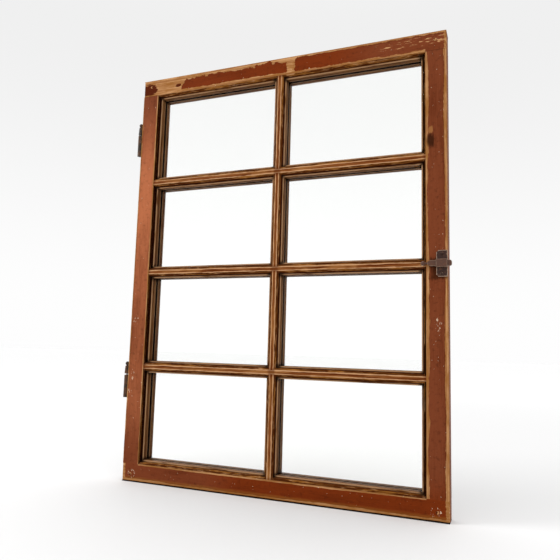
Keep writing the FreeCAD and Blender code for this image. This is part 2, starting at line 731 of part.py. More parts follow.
bolt_half = size("bolt_high") / 2
tail_half = size("bolt_tail_high") / 2
nose_round = size("bolt_nose_round")
bolt_body = new_body("slide_bolt_blank")
bolt_sketch = outline(bolt_body, "slide_bolt_outline", "XZ_Plane", [
    (bolt_end, bolt_level - bolt_half), (bolt_tip - nose_round, bolt_level - bolt_half),
    (bolt_tip, bolt_level - bolt_half + nose_round, nose_round,
     (bolt_tip - nose_round, bolt_level - bolt_half + nose_round)),
    (bolt_tip, bolt_level + bolt_half - nose_round),
    (bolt_tip - nose_round, bolt_level + bolt_half, nose_round,
     (bolt_tip - nose_round, bolt_level + bolt_half - nose_round)),
    (bolt_end, bolt_level + bolt_half), (tail_end, bolt_level + tail_half),
    (tail_end, bolt_level - tail_half),
], -bolt_back)
pad(bolt_body, "slide_bolt_thickness", bolt_sketch, size("bolt_thick"))
stop_seat = rod("stop_seat", (stop_x, bolt_back - size("stop_in"), bolt_level), "y",
                stop_radius + size("fit_gap"), size("stop_in") + OVERRUN)
knob_seat = rod("knob_seat", (tail_end - OVERRUN, bolt_middle, bolt_level), "x",
                size("knob_spigot_radius") + size("fit_gap"), size("knob_spigot") + OVERRUN)
slide_bolt = cut("slide_bolt", bolt_body, stop_seat, knob_seat)
stop_pin = rod("bolt_stop_pin", (stop_x, bolt_back - size("stop_in"), bolt_level), "y",
               stop_radius, size("stop_in") + size("slide_gap") + size("plate_thick")
               - size("stop_gap"))
bolt_knob = fuse("bolt_knob", [
    rod("knob_spigot", (tail_end, bolt_middle, bolt_level), "x",
        size("knob_spigot_radius"), size("knob_spigot")),
    rod("knob_neck", (tail_end, bolt_middle, bolt_level), "-x", size("knob_neck_radius"),
        size("knob_neck") + size("knob_radius")),
    ball("knob_ball", (tail_end - size("knob_neck") - size("knob_radius"), bolt_middle, bolt_level),
         "x", size("knob_radius"))])

# ---------------------------------------------------------------- putting the sash together
tenon_half = size("bar_tenon_wide") / 2
deep = size("bar_tenon_long") + size("mortise_spare")
stile_mortises = {"left": [], "right": []}
for bar_name, level in levels.items():
    inner = half_wide - stile_face
    stile_mortises["left"].append(box(
        f"{bar_name}_left_mortise", (-inner - deep, tenon_front, level - tenon_half),
        (-inner + moulding + OVERRUN, tenon_back, level + tenon_half)))
    stile_mortises["right"].append(box(
        f"{bar_name}_right_mortise", (inner - moulding - OVERRUN, tenon_front, level - tenon_half),
        (inner + deep, tenon_back, level + tenon_half)))
rail_mortises = {
    "bottom": box("bottom_rail_mortise", (upright - tenon_half, tenon_front, rail_face - deep),
                  (upright + tenon_half, tenon_back, rail_face + moulding + OVERRUN)),
    "top": box("top_rail_mortise",
               (upright - tenon_half, tenon_front, height - rail_face - moulding - OVERRUN),
               (upright + tenon_half, tenon_back, height - rail_face + deep)),
}
rails = {}
for end, edge, way in (("bottom", as_size(0), 1), ("top", height, -1)):
    slots = group(f"{end}_rail_slots", [slot for where, slot in rail_ends if where == end])
    rails[end] = cut(f"{end}_rail", rail_blank(f"{end}_rail_blank", edge, way), slots, peg_bores,
                     rail_mortises[end], pin_bores[f"{end}_rail"])

stiles = {
    "left": cut("left_stile", stile_blank("left_stile_blank", -half_wide, 1), rails["bottom"],
                rails["top"], peg_bores, group("left_mortises", stile_mortises["left"]),
                group("leaf_mortises", leaf_mortises),
                group("hinge_screw_bores", hinge_screw_bores), pin_bores["left_stile"]),
    "right": cut("right_stile", stile_blank("right_stile_blank", half_wide, -1), rails["bottom"],
                 rails["top"], peg_bores, group("right_mortises", stile_mortises["right"]),
                 screw_bores, pin_bores["right_stile"]),
}

upright_blank = bar_blank("upright_bar_blank", "XY_Plane", upright, rail_face,
                          height - rail_face * 2, size("bar_tenon_long"))
lap = front + size("lap_depth")
beyond = half_wide * 2
back_half = common("upright_back_half", upright_blank,
                   box("behind_the_lap", (-beyond, lap, -beyond), (beyond, beyond, beyond * 2)))
before_the_lap = box("before_the_lap", (-beyond, -beyond, -beyond), (beyond, lap, beyond * 2))
bars = {}
front_halves = []
for bar_name, level in levels.items():
    blank = bar_blank(f"{bar_name}_blank", "YZ_Plane", level, stile_face - half_wide,
                      (half_wide - stile_face) * 2, size("bar_tenon_long"))
    front_halves.append(common(f"{bar_name}_front_half", blank, before_the_lap))
    bars[bar_name] = cut(bar_name, blank, stiles["left"], stiles["right"], back_half,
                         pin_bores[bar_name])
bars["upright_bar"] = cut("upright_bar", upright_blank, rails["bottom"], rails["top"],
                          *front_halves, pin_bores["upright_bar"])

# ---------------------------------------------------------------- sub-parts, checks and files
subparts = [stiles["left"], stiles["right"], rails["bottom"], rails["top"], corner_pegs]
subparts += bars.values()
subparts += panes.values()
subparts += beads.values()
subparts += [group("bead_pins", bead_pins)]
subparts += hinges.values()
subparts += [hinge_finials, group("hinge_screws", hinge_screws)]
subparts += [latch_plate, strap, slide_bolt, stop_pin, bolt_knob,
             group("latch_screws", latch_screws)]

doc.recompute()
for item in doc.Objects:
    if "Invalid" in item.State or "Error" in item.State:
        raise RuntimeError(f"{item.Label} did not build: {item.State}")
for item in subparts:
    if item.Shape.isNull() or not item.Shape.isValid() or not item.Shape.Solids:
        raise RuntimeError(f"{item.Label} has no valid solid")

os.makedirs("parts", exist_ok=True)
for item in subparts:
    item.Shape.exportStep(os.path.join("parts", item.Label + ".step"))
    print(item.Label, len(item.Shape.Solids), round(item.Shape.Volume, 1))
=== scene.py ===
import math

import bpy
from mathutils import Matrix, Vector, noise


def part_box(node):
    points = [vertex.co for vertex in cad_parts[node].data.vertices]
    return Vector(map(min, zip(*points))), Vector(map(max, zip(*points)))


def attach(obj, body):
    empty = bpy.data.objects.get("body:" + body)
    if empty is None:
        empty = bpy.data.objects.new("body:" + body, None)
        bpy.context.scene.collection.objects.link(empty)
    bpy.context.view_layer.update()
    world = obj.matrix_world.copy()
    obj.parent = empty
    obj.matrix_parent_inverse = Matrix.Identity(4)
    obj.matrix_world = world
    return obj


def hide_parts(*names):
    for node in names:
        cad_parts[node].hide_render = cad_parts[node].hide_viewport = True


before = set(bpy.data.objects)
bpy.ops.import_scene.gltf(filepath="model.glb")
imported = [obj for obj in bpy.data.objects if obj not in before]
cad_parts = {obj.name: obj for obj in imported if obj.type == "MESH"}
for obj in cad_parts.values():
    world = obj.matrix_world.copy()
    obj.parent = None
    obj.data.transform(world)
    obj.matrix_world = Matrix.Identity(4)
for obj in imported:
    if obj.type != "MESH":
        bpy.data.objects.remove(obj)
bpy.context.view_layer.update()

# ---------------------------------------------------------------- floor, light and camera
# The sash stands upright on a plain pale floor. The room is a soft even white, with a large
# lamp at the upper left and a weaker one at the right. The camera looks from the right.
FLOOR_HALF_WIDTH = 30
FLOOR_NEAR = (0.79, 0.79, 0.79, 1)
FLOOR_FAR = (0.90, 0.90, 0.90, 1)
FLOOR_FADE_MM = (900, 5000)
FLOOR_ROUGHNESS = 0.7
FLOOR_GLOSS = 0.2
MM = 1000  # millimetres in a metre
LENS_MM = 36.9
CAMERA_PLACE = Vector((0.5427, -1.3168, 0.3538))
CAMERA_TURN = math.radians(22.05)
CAMERA_TILT = math.radians(6.87)
CAMERA_ROLL = math.radians(1.59)
WHITE_ROOM = (1.0, 1.0, 1.0, 1)
ROOM_LEVEL = 0.99
ROOM_DIMMING = 0.12
DIM_HEIGHTS = (0.04, 0.5)  # heights and directions in the room run from -1 to 1
CEILING_EXTRA = 0.50
CEILING_HEIGHTS = (0.5, 1)
FRONT_EXTRA = 0.08
FRONT_DIRECTIONS = (0.1, -0.9)
LAMP_SIZE = 1.6
LAMP_AIM = Vector((0, 0, 0.5))
LAMPS = (("left_lamp", (-3.0, -1.6, 2.9), 60), ("right_lamp", (2.4, -1.5, 1.6), 9))


def clear_selection():
    """Leave edit mode and deselect everything, so that the next operator meets only its piece."""
    if bpy.context.object and bpy.context.object.mode != "OBJECT":
        bpy.ops.object.mode_set(mode="OBJECT")
    bpy.ops.object.select_all(action="DESELECT")


class Tone:
    """A value or colour that varies over a surface. Operators on values add Math nodes."""

    def __init__(self, finish, socket):
        self.finish = finish
        self.socket = socket

    def maths(self, operation, *values):
        return self.finish.node("ShaderNodeMath", {"operation": operation}, dict(enumerate(values)))

    def __add__(self, other):
        return self.maths("ADD", self, other)

    def __radd__(self, other):
        return self.maths("ADD", other, self)

    def __sub__(self, other):
        return self.maths("SUBTRACT", self, other)

    def __rsub__(self, other):
        return self.maths("SUBTRACT", other, self)

    def __mul__(self, other):
        return self.maths("MULTIPLY", self, other)

    def __rmul__(self, other):
        return self.maths("MULTIPLY", other, self)

    def __truediv__(self, other):
        return self.maths("DIVIDE", self, other)

    def __abs__(self):
        return self.maths("ABSOLUTE", self)

    def root(self):
        return self.maths("SQRT", self)

    def least(self, other):
        return self.maths("MINIMUM", self, other)

    def most(self, other):
        return self.maths("MAXIMUM", self, other)


class Shading:
    """The nodes of a material or of the room, added one at a time."""

    def __init__(self, owner):
        owner.use_nodes = True
        self.tree = owner.node_tree
        self.tree.nodes.clear()

    def node(self, kind, settings, inputs, output=0):
        """Add a node. Its settings come first, then the values or links of its sockets."""
        made = self.tree.nodes.new(kind)
        for name, value in settings.items():
            setattr(made, name, value)
        for name, value in inputs.items():
            if isinstance(value, Tone):
                self.tree.links.new(value.socket, made.inputs[name])
            else:
                made.inputs[name].default_value = value
        return None if output is None else Tone(self, made.outputs[output])

    def axes(self, vector):
        return [self.node("ShaderNodeSeparateXYZ", {}, {0: vector}, axis) for axis in range(3)]

    def end(self, kind, shader):
        self.node(kind, {}, {"Surface": shader}, None)

    def band(self, value, low, high):
        """0 below low, 1 above high, and smooth between. A high under low turns it round."""
        return self.node("ShaderNodeMapRange", {"interpolation_type": "SMOOTHSTEP"}, {
            "Value": value, "From Min": low, "From Max": high})


class Finish(Shading):
    """One procedural material. Its places are in millimetres, on the piece's own coordinates."""

    def __init__(self, name):
        self.material = bpy.data.materials.new(name)
        super().__init__(self.material)
        metres = self.node("ShaderNodeTexCoord", {}, {}, "Object")
        self.place = self.scaled(metres, (MM, MM, MM))
        self.x, self.y, self.z = self.axes(self.place)

    def scaled(self, vector, factors):
        return self.node("ShaderNodeVectorMath", {"operation": "MULTIPLY"}, {0: vector, 1: factors})

    def noise(self, periods, detail=3.0, roughness=0.55, shift=(0, 0, 0)):
        """Noise whose blotches are about the given millimetres long on each axis."""
        moved = self.node("ShaderNodeVectorMath", {"operation": "ADD"}, {0: self.place, 1: shift})
        vector = self.scaled(moved, tuple(1 / period for period in periods))
        return self.node("ShaderNodeTexNoise", {}, {
            "Vector": vector, "Scale": 1.0, "Detail": detail, "Roughness": roughness})

    def mix(self, mask, under, over):
        return self.node("ShaderNodeMix", {"data_type": "RGBA"}, {0: mask, 6: under, 7: over}, 2)

    def shade(self, colour, roughness, height, relief_mm, **fixed):
        """Link the shader. The relief is the depth in millimetres that height's 0 to 1 spans."""
        bump = self.node("ShaderNodeBump", {}, {
            "Strength": 1.0, "Distance": relief_mm / MM, "Height": height})
        inputs = {"Base Color": colour, "Roughness": roughness, "Normal": bump}
        for name, value in fixed.items():
            inputs[name.replace("_", " ")] = value
        return self.principled(inputs)

    def principled(self, inputs):
        self.end("ShaderNodeOutputMaterial", self.node("ShaderNodeBsdfPrincipled", {}, inputs))
        return self.material


def paint_node(name, material):
    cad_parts[name].data.materials[0] = material


clear_selection()
bpy.ops.mesh.primitive_plane_add(size=2 * FLOOR_HALF_WIDTH, location=(0, 0, 0))
floor = bpy.context.object
floor.name = "floor"
floor_finish = Finish("pale_floor")
floor_distance = (floor_finish.x * floor_finish.x + floor_finish.y * floor_finish.y).root()
floor_fade = floor_finish.band(floor_distance, *FLOOR_FADE_MM)
floor.data.materials.append(floor_finish.principled({
    "Base Color": floor_finish.mix(floor_fade, FLOOR_NEAR, FLOOR_FAR),
    "Roughness": FLOOR_ROUGHNESS, "Specular IOR Level": FLOOR_GLOSS}))

world = bpy.data.worlds.new("white_room")
room = Shading(world)
across, towards, up = room.axes(room.node("ShaderNodeTexCoord", {}, {}, "Generated"))
strength = (ROOM_LEVEL - room.band(up, *DIM_HEIGHTS) * ROOM_DIMMING
            + room.band(up, *CEILING_HEIGHTS) * CEILING_EXTRA
            + room.band(towards, *FRONT_DIRECTIONS) * FRONT_EXTRA)
room.end("ShaderNodeOutputWorld", room.node("ShaderNodeBackground", {}, {
    "Color": WHITE_ROOM, "Strength": strength}))
bpy.context.scene.world = world
bpy.context.scene.view_settings.view_transform = "Standard"

for name, place, watts in LAMPS:
    lamp = bpy.data.objects.new(name, bpy.data.lights.new(name, "AREA"))
    lamp.data.size = LAMP_SIZE
    lamp.data.energy = watts
    lamp.location = place
    lamp.rotation_euler = (LAMP_AIM - lamp.location).to_track_quat("-Z", "Y").to_euler()
    bpy.context.scene.collection.objects.link(lamp)

camera = bpy.data.objects.new("camera", bpy.data.cameras.new("camera"))
camera.data.lens = LENS_MM
camera.matrix_world = (Matrix.Translation(CAMERA_PLACE)
                       @ Matrix.Rotation(CAMERA_TURN, 4, "Z")
                       @ Matrix.Rotation(math.pi / 2 + CAMERA_TILT, 4, "X")
                       @ Matrix.Rotation(CAMERA_ROLL, 4, "Z"))
bpy.context.scene.collection.objects.link(camera)
bpy.context.scene.camera = camera

# ---------------------------------------------------------------- stiles and rails
# The four outer members are pine, moulded on their inner front edge and painted red-brown
# long ago. The paint is rubbed off the arrises and has flaked off much of the top rail. The
# moulding has lost its paint, and its stained wood is dark in the hollow.
# LIT_PAINT is the left stile's paint made paler: painted light from the left.
LIT_PAINT = (0.400, 0.124, 0.052, 1)
DULL_PAINT = (0.168, 0.042, 0.016, 1)
SOUND_PAINT = (0.162, 0.026, 0.0045, 1)
DARK_PAINT = (0.075, 0.012, 0.0025, 1)
PINE_PALE = (0.500, 0.265, 0.115, 1)
PINE_BROWN = (0.255, 0.100, 0.032, 1)
STAIN_GOLD = (0.250, 0.094, 0.017, 1)
STAIN_BROWN = (0.056, 0.012, 0.0015, 1)
HOLLOW_DARK = (0.024, 0.0030, 0.0005, 1)
REVEAL_GOLD = (0.205, 0.090, 0.030, 1)
REVEAL_BROWN = (0.070, 0.020, 0.004, 1)
FILLET_PALE = (0.380, 0.210, 0.105, 1)
# Black-brown for dirt and pits. It is also the painted shade beside the glass and under the foot,
# and the darkening at pane corners.
DIRT_AND_SHADE = (0.010, 0.004, 0.002, 1)
NICK_PALE = (0.66, 0.50, 0.35, 1)
KNOT_STAIN = (0.030, 0.008, 0.003, 1)
LATCH_GREASE_AND_SHADOW = (0.026, 0.007, 0.002, 1)
WOOD_GLOSS = 0.025
WOOD_SHEEN = (1.0, 0.60, 0.36, 1)
HALF_WIDE_MM = 415.5
HIGH_MM = 1100.0
HALF_DEEP_MM = 20.0
STILE_FACE_MM = 47.5
RAIL_FACE_MM = 46.0
HOLLOW_DEPTH_MM = 8.6
HALF_NOSE_MM = 4.8
LEVEL_BARS = ("lower_bar", "middle_bar", "upper_bar")
# Bands, in millimetres, over which a joint, its seam and the darkening at a pane corner come in.
JOINT_MM = (-0.5, 0.5)
SEAM_MM = (0.9, 0.2)
CORNER_MM = (19, 9)
FAR_MM = 50
# Single marks: the gap in the top rail's paint, the knot and its stain, dark paint at the top
# left peg and an island of it, and the ring of chips round each lower peg.
TOP_GAP_X = 30
KNOT_X, KNOT_Z = 379, 862
KNOT_STAIN_Z = 838
TOP_PEG_X, TOP_PEG_Z = -400, 1072
ISLAND_X, ISLAND_Z = -303, 1074
CHIPPED_PEG_X, CHIPPED_PEG_Z = 387, 21
CHIP_RING_MM = 10


def middle_and_half(node):
    """A node's middle and its half size, in millimetres."""
    low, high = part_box(node)
    return (low + high) * (MM / 2), (high - low) * (MM / 2)


CORNER_LINES = {"x": [(-HALF_WIDE_MM, STILE_FACE_MM), (HALF_WIDE_MM, STILE_FACE_MM),
                      (middle_and_half("upright_bar")[0].x, HALF_NOSE_MM)],
                "z": [(0.0, RAIL_FACE_MM), (HIGH_MM, RAIL_FACE_MM)]}
CORNER_LINES["z"] += [(middle_and_half(bar)[0].z, HALF_NOSE_MM) for bar in LEVEL_BARS]


def along_grain(upright, along, across):
    """The lengths of a stretched blotch, for a piece whose grain runs upright or level."""
    return (across, across, along) if upright else (along, across, across)


def pine(finish, upright, shift):
    """Old bare pine: pale and brown growth lines with fine pores, and its grain's height."""
    lines = finish.noise(along_grain(upright, 170, 3.2), 2.0, 0.5, shift)
    pores = finish.noise(along_grain(upright, 24, 0.8), 2.0, 0.6, shift)
    ridges = finish.band(lines * 0.7 + pores * 0.3, 0.36, 0.66)
    return finish.mix(ridges, PINE_BROWN, PINE_PALE), ridges


def off_lines(finish, axis):
    """The distance across from the nearest glazing bar or outer member's inner arris line."""
    nearest = None
    for line, half in CORNER_LINES[axis]:
        distance = abs(getattr(finish, axis) - line) - half
        nearest = nearest.least(distance) if nearest else distance
    return nearest


def stained_moulding(finish, upright, depth, shift, hollow_from, hollow_share):
    """The moulding's stain: golden and brown streaks, pale flecks of painted highlight, a hollow
    that is dark from the depth hollow_from on, by hollow_share, a pale fillet, and a brown reveal
    with painted shadow by the glass."""
    streaks = finish.noise(along_grain(upright, 70, 3.4), 3.0, 0.6, shift)
    fine = finish.noise(along_grain(upright, 22, 1.6), 2.0, 0.6, shift)
    gold = finish.band(streaks * 0.6 + fine * 0.4, 0.46, 0.56)
    tone = finish.mix(gold, STAIN_BROWN, STAIN_GOLD)
    # Painted highlights: small pale flecks scattered over the moulding.
    tone = finish.mix(finish.band(fine, 0.58, 0.66) * 0.7, tone, FILLET_PALE)
    murk = finish.band(finish.noise(along_grain(upright, 90, 26), 4.0, 0.6, shift), 0.44, 0.60)
    tone = finish.mix(murk * 0.75, tone, STAIN_BROWN)
    hollow = finish.band(depth + (streaks - 0.5) * 5, hollow_from, hollow_from + 2.6)
    tone = finish.mix(hollow * hollow_share, tone, HOLLOW_DARK)
    reveal_lines = finish.noise(along_grain(upright, 160, 3.4), 2.0, 0.6, shift)
    reveal = finish.mix(finish.band(reveal_lines, 0.40, 0.58), REVEAL_BROWN, REVEAL_GOLD)
    pale = finish.band(depth + (fine - 0.5) * 3, 10.2, 9.2).most(
        finish.band(depth + (streaks - 0.5) * 4, 20.0, 22.0) * 0.7)
    reveal = finish.mix(pale * finish.band(streaks, 0.34, 0.50), reveal, FILLET_PALE)
    # Painted shadow: a dark line along the reveal next to the glass, where the rebate shades it.
    rebate_shadow = finish.band(depth, 22.2, 24.6)
    reveal = finish.mix(rebate_shadow, reveal, DIRT_AND_SHADE)
    in_reveal = finish.band(depth, HOLLOW_DEPTH_MM - 0.35, HOLLOW_DEPTH_MM - 0.1)
    tone = finish.mix(in_reveal, tone, reveal)
    # The moulding grows darker towards each pane corner.
    from_corner = off_lines(finish, "x").most(off_lines(finish, "z")) + (murk - 0.5) * 5
    corner = finish.band(from_corner, *CORNER_MM)
    return finish.mix(corner * finish.band(depth, 1.0, 4.0) * 0.85, tone, DIRT_AND_SHADE), gold


def member_finish(name, upright, from_edge, face, joints, light_paint, hollow, flaked, spots):
    """The finish of one stile or rail. from_edge is a function that gives the distance from
    its outer edge, joints one that finds its corner joints, light_paint one that gives its
    paint, and flaked one that gives how far flaking eats in from an arris. hollow says where
    the moulding's dark hollow starts and how dark it is, and spots are its single marks."""
    finish = Finish(name)
    shift = (137.0 * len(name), 0, 91.0 * len(name))
    depth = finish.y + HALF_DEEP_MM
    edge = from_edge(finish)
    wood, ridges = pine(finish, upright, shift)
    moulded, gold = stained_moulding(finish, upright, depth, shift, *hollow)

    # Paint: a slow change of tone, the grain showing through, and rubbed darker dirt.
    slow = finish.noise(along_grain(upright, 160, 34), 3.0, 0.55, shift)
    grain = finish.noise(along_grain(upright, 60, 1.8), 3.0, 0.6, shift)
    tone = finish.band(slow * 0.62 + grain * 0.38, 0.22, 0.60)
    paint = finish.mix(tone * 0.8 + 0.2, DARK_PAINT, light_paint(finish))
    mottle = finish.band(finish.noise((9, 9, 9), 5.0, 0.7, shift), 0.50, 0.72)
    paint = finish.mix(mottle * 0.35, paint, DIRT_AND_SHADE)

    # Bare arrises: a narrow ragged band on each arris, and wider where the paint has flaked.
    ragged = finish.noise(along_grain(upright, 30, 5), 5.0, 0.62, shift)
    rubbed = finish.noise(along_grain(upright, 220, 60), 2.0, 0.5, shift)
    outer = edge + depth
    joint, seam = joints(finish, edge)
    inner = abs(edge - face) + depth + joint * FAR_MM
    behind = edge + (2 * HALF_DEEP_MM - depth)
    ends = (HALF_WIDE_MM - abs(finish.x)).least(HIGH_MM - finish.z).least(finish.z) + depth
    outer_width, inner_width = flaked(finish, ragged, rubbed)
    bare_outer = finish.band(outer - outer_width, 0.35, -0.35)
    bare_inner = finish.band(inner - inner_width, 0.3, -0.3)
    bare_behind = finish.band(behind - ragged * 5, 0.4, -0.4)
    bare_ends = finish.band(ends - outer_width, 0.35, -0.35)
    bare = bare_outer.most(bare_inner).most(bare_behind).most(bare_ends)
    back = finish.band(depth, 2 * HALF_DEEP_MM - 1.2, 2 * HALF_DEEP_MM - 0.6)
    islands = finish.band(finish.noise(along_grain(upright, 120, 26), 5.0, 0.62, shift), 0.50, 0.53)
    bare = bare.most(back * islands)
    nicks = finish.band(finish.noise(along_grain(upright, 7, 4), 2.0, 0.5, shift), 0.715, 0.73)
    bare_edge = finish.band(outer - outer_width - 1.4, 0.9, -0.9) * (1 - bare)

    colour = finish.mix(bare_edge * 0.55, paint, DARK_PAINT)
    soiled = finish.noise(along_grain(upright, 44, 12), 4.0, 0.65, shift)
    soiled = finish.band(soiled, 0.38, 0.66) * 0.75
    colour = finish.mix(bare, colour, finish.mix(soiled, wood, STAIN_GOLD))
    colour = finish.mix(seam * finish.band(finish.z, 300, 800) * 0.6, colour, DIRT_AND_SHADE)
    colour = finish.mix(nicks * 0.9, colour, NICK_PALE)
    for spot in spots:
        colour = spot(finish, colour, ragged)
    on_moulding = finish.band(edge - face, 0.0, 0.4) * (1 - back)
    arris = finish.band(inner - inner_width * 0.25, 0.4, -0.4)
    colour = finish.mix(on_moulding, colour, finish.mix(arris, moulded, wood))
    height = ((1 - bare.most(nicks)) * (1 - on_moulding) * 0.55 + ridges * 0.22 + grain * 0.18
              + gold * on_moulding * 0.2)
    roughness = 0.38 + bare * 0.24 + mottle * 0.12 + grain * 0.12 - on_moulding * 0.06
    return finish.shade(colour, roughness, height, 0.5, Specular_IOR_Level=WOOD_GLOSS,
                        Specular_Tint=WOOD_SHEEN)


def left_lit_paint(finish):
    """The left stile's paint, painted paler as light falling from the left, most of all above its
    middle.
    """
    # Painted light: the stile is paler where light from the left falls on it.
    paler = finish.band(finish.z, 70, 200) * 0.5 + finish.band(finish.z, 430, 700) * 0.5
    return finish.mix(paler * finish.band(finish.z, 1060, 800), DULL_PAINT, LIT_PAINT)


def dull_right(finish):
    """The right stile's paint, dull above and darker at its foot."""
    return finish.mix(finish.band(finish.z, 110, 10), DULL_PAINT, SOUND_PAINT)


def sound(finish):
    """The rails' paint, dull towards the hinge side below and towards the bolt side above."""
    below = finish.band(finish.x, -60, -200) * finish.band(finish.z, 200, 100)
    above = finish.band(finish.x, 120, 280) * finish.band(finish.z, 900, 1000)
    return finish.mix((below + above) * 0.85, SOUND_PAINT, DULL_PAINT)


def stile_joints(finish, edge):
    """A stile's face stops at the rails, with a fine dirty seam."""
    past = abs(finish.z - HIGH_MM / 2) - (HIGH_MM / 2 - RAIL_FACE_MM)
    return finish.band(past, *JOINT_MM), finish.band(abs(past), *SEAM_MM)


def rail_joints(finish, edge):
    """A rail's moulded edge stops at the stiles, and its plain edge there is a dirty seam."""
    past = finish.band(abs(finish.x) - (HALF_WIDE_MM - STILE_FACE_MM), *JOINT_MM)
    return past, finish.band(abs(edge - RAIL_FACE_MM), *SEAM_MM) * past


def rubbed_arrises(outer_base, inner_base, inner_wear=1.6, inner_ragged=4):
    """Flaking for a member whose arrises are only rubbed."""
    def widths(finish, ragged, rubbed):
        wear = finish.band(rubbed, 0.38, 0.62)
        return (outer_base + wear * 2.4 + (ragged - 0.5) * 7,
                inner_base + wear * inner_wear + (ragged - 0.5) * inner_ragged)
    return widths


def flaked_top(finish, ragged, rubbed):
    """Flaking for the top rail: wide bare margins on its left half, narrow ones on its right."""
    left = finish.band(finish.x, 150, -110)
    broad = finish.noise((60, 30, 30), 4.0, 0.6, (40, 0, 0))
    scallops = finish.noise((17, 14, 14), 3.0, 0.6, (9, 0, 4))
    corner = finish.band(finish.x, -276, -304)
    gap = finish.band(abs(finish.x - TOP_GAP_X) + (scallops - 0.5) * 26, 14, 7)
    outer_width = (5.4 + left * 5 + (broad - 0.5) * (8 + left * 30)
                   + (scallops - 0.5) * (9 + left * 20)
                   + (ragged - 0.5) * 5 + corner * 40 + gap * 30)
    inner_width = (3.8 + left * 2.8 + (broad - 0.5) * 9 + (scallops - 0.5) * 9
                   + (ragged - 0.5) * 4 + gap * 14)
    return outer_width.most(1.5), inner_width.most(1.2)


def knot(finish, colour, ragged):
    """A small knot high on the right stile, with a pale heart and a dark stain below it."""
    across = (finish.x - KNOT_X) / 5.5 + (ragged - 0.5) * 2.2
    up = (finish.z - KNOT_Z) / 9 + (ragged - 0.5) * 1.5
    heart = finish.band(across * across + up * up, 1.15, 0.55)
    below = (finish.z - KNOT_STAIN_Z) / 19
    stain = finish.band(across * across * 0.3 + below * below + (ragged - 0.5) * 1.6, 1.3, 0.2)
    colour = finish.mix(stain * 0.9, colour, KNOT_STAIN)
    return finish.mix(heart, colour, PINE_BROWN)


def stained_corner(finish, colour, ragged):
    """Old dark paint left round the peg at the top rail's left end, and an island of it."""
    across = (finish.x - TOP_PEG_X) / 26
    up = (finish.z - TOP_PEG_Z) / 17
    patch = finish.band(across * across + up * up + (ragged - 0.5) * 3.4, 1.15, 0.95)
    island_across = (finish.x - ISLAND_X) / 9
    island_up = (finish.z - ISLAND_Z) / 4.5
    island = finish.band(island_across * island_across + island_up * island_up
                         + (ragged - 0.5) * 3, 1.1, 0.9)
    return finish.mix(patch.most(island), colour, DARK_PAINT)


def scratches(finish, colour, ragged):
    """Fine pale scratches near the right end of the top rail, and bare patches at its corner."""
    lines = finish.noise((30, 3.4, 3.4), 4.0, 0.7, (11, 0, 5))
    near = finish.band(finish.x, 190, 300) * finish.band(abs(finish.z - 1080), 15, 8)
    colour = finish.mix(finish.band(lines + near * 0.09, 0.66, 0.69) * near, colour, PINE_PALE)
    grazed = finish.noise((22, 12, 7), 4.0, 0.65, (3, 0, 8))
    corner = finish.band(finish.x, 345, 400) * finish.band(abs(finish.z - TOP_PEG_Z), 16, 4)
    bared = finish.band(grazed * 0.6 + corner * 0.3, 0.60, 0.62) * 0.8
    return finish.mix(bared, colour, PINE_PALE)


def latch_grease_and_shadow(finish, colour, ragged):
    """Black grease that the slide bolt has left round its plate, and the plate's painted shadow,
    most of it below and inside.
    """
    middle, half = middle_and_half("latch_plate")
    across = (abs(finish.x - middle.x + 7) - half.x).most(0)
    up = (abs(finish.z - middle.z + 11) - half.z + 9).most(0)
    spread = (across * across * 0.4 + up * up).root() + (ragged - 0.5) * 24
    near = finish.band(spread, 8, 0) * finish.band(finish.y, -10, -16)
    # Grease and a painted shadow of the plate darken the stile below and inside the plate.
    return finish.mix(near * 0.8, colour, LATCH_GREASE_AND_SHADOW)


def scuffs(*places):
    """Clusters of small pale chips, each at a given x and z and within given half sizes."""
    def spot(finish, colour, ragged):
        chips = finish.noise((4, 4, 8), 3.0, 0.6, (2, 0, 9))
        for x, z, half_width, half_height in places:
            across = (finish.x - x) / half_width
            up = (finish.z - z) / half_height
            near = finish.band(across * across + up * up, 1.4, 0.5)
            near = near * finish.band(finish.y, 0, -10)
            chipped = finish.band(chips + near * 0.06, 0.62, 0.66) * near * 0.7
            colour = finish.mix(chipped, colour, NICK_PALE)
        return colour
    return spot


def shaded_foot(finish, colour, ragged):
    """The rounded lower edge that the sash stands on has painted shade: its bottom few millimetres
    are near-black. It is stained above.
    """
    colour = finish.mix(finish.band(finish.z + ragged * 8, 20, 14) * 0.4, colour, STAIN_GOLD)
    # Painted shade: the lowest few millimetres turn near-black, as if shaded under the rounded
    # edge.
    return finish.mix(finish.band(finish.z + (ragged - 0.5) * 3, 4.6, 3.2), colour, DIRT_AND_SHADE)


def corner_chips(finish, colour, ragged):
    """Broken pale rings of chipped paint round the corner pegs."""
    across = abs(finish.x) - CHIPPED_PEG_X
    up = finish.z - CHIPPED_PEG_Z
    ring = abs((across * across + up * up).root() - CHIP_RING_MM)
    specks = finish.noise((3, 3, 3), 3.0, 0.6, (7, 3, 1))
    chipped = finish.band(ring + (0.58 - specks) * 22, 0.9, 0.3)
    return finish.mix(chipped, colour, NICK_PALE)


